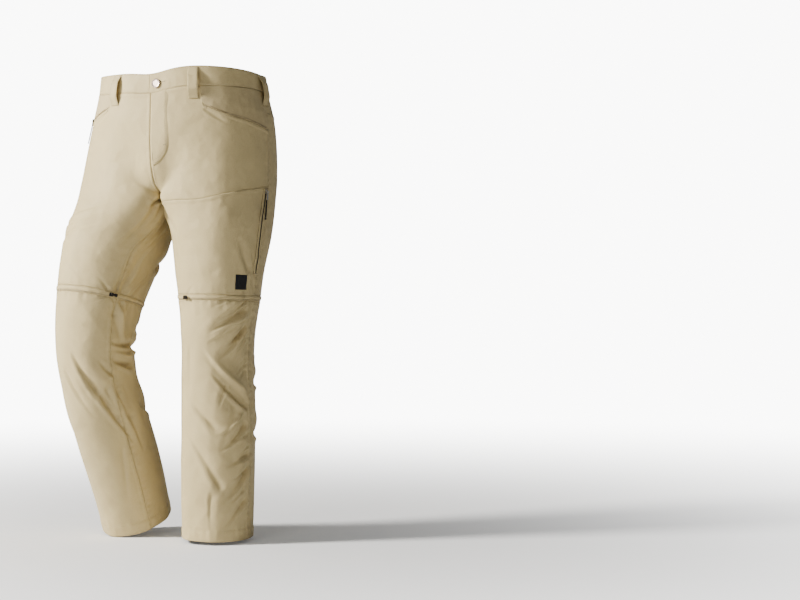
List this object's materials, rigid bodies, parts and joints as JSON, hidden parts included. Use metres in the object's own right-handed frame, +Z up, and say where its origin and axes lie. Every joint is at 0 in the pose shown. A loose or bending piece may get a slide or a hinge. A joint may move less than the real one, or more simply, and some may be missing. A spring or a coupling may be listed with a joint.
{
  "type": "convertible zip-off trousers",
  "caption": "Worn-shape convertible walking trousers with zip-off lower legs, belt loops, thigh pocket and shaped knees.",
  "frame": {"origin": "middle of the waist opening, half way up the waistband, where the wearer holds the trousers up", "axes": "+Z up, the front faces -Y, the wearer's left side is +X"},
  "size_m": [0.4301, 0.3528, 0.9759],
  "materials": {
    "khaki_nylon": "light khaki plain nylon with a slight sheen",
    "facing_nylon": "the same nylon inside the pocket mouths",
    "zip_tape": "dark woven zip tape",
    "black_label": "plain black woven label, bare",
    "silver_metal": "bright die-cast zip slider and pull tab",
    "black_metal": "black enamelled zip slider and pull tab",
    "button_metal": "pale silver-rose shank button",
    "dark_cord": "dark braided polyester cord"
  },
  "bodies": {
    "root": {"front_thigh_right": "khaki_nylon", "front_hip_left": "khaki_nylon", "cargo_pocket_left": "khaki_nylon", "back_yoke_left": "khaki_nylon", "back_yoke_right": "khaki_nylon", "back_thigh_left": "khaki_nylon", "back_thigh_right": "khaki_nylon", "front_lower_leg_left": "khaki_nylon", "front_lower_leg_right": "khaki_nylon", "back_lower_leg_left": "khaki_nylon", "back_lower_leg_right": "khaki_nylon", "knee_zip_band_left": "khaki_nylon", "knee_zip_band_right": "khaki_nylon", "waistband_front_left": "khaki_nylon", "waistband_front_right": "khaki_nylon", "waistband_back_left": "khaki_nylon", "waistband_back_right": "khaki_nylon", "fly_placket": "khaki_nylon", "belt_loop_front_left": "khaki_nylon", "belt_loop_front_right": "khaki_nylon", "belt_loop_side_left": "khaki_nylon", "belt_loop_side_right": "khaki_nylon", "belt_loop_back_left": "khaki_nylon", "belt_loop_back_right": "khaki_nylon", "belt_loop_centre_back": "khaki_nylon", "back_pocket_welt_right": "khaki_nylon", "pocket_facing_left": "facing_nylon", "pocket_facing_right": "facing_nylon", "cargo_zip_left": "zip_tape", "label_left": "black_label", "cargo_zip_slider": "silver_metal", "back_pocket_slider": "silver_metal", "knee_zip_left_slider": "black_metal", "knee_zip_right_slider": "black_metal", "hand_pocket_slider": "black_metal", "waist_button": "button_metal", "hand_pocket_cord": "dark_cord", "hand_pocket_knot": "dark_cord", "back_pocket_cord": "dark_cord", "back_pocket_knot": "dark_cord"},
    "cargo_pull": {"cargo_zip_pull_tab": "silver_metal", "cargo_zip_cord": "dark_cord", "cargo_zip_knot": "dark_cord"},
    "knee_pull_left": {"knee_zip_left_pull_tab": "black_metal"},
    "knee_pull_right": {"knee_zip_right_pull_tab": "black_metal"}
  },
  "joints": [
    {"name": "cargo_pull_tilt", "type": "hinge", "parent": "root", "child": "cargo_pull", "pos_m": [0.20639, -0.01375, -0.22763], "axis": [-0.0669, -0.9859, 0.1531], "range_deg": [0, 150]},
    {"name": "knee_pull_left_tilt", "type": "hinge", "parent": "root", "child": "knee_pull_left", "pos_m": [0.06799, -0.11674, -0.44469], "axis": [0.0324, 0.081, -0.9962], "range_deg": [0, 150]},
    {"name": "knee_pull_right_tilt", "type": "hinge", "parent": "root", "child": "knee_pull_right", "pos_m": [-0.06847, -0.1703, -0.4389], "axis": [-0.1487, -0.126, -0.9808], "range_deg": [0, 150]}
  ]
}
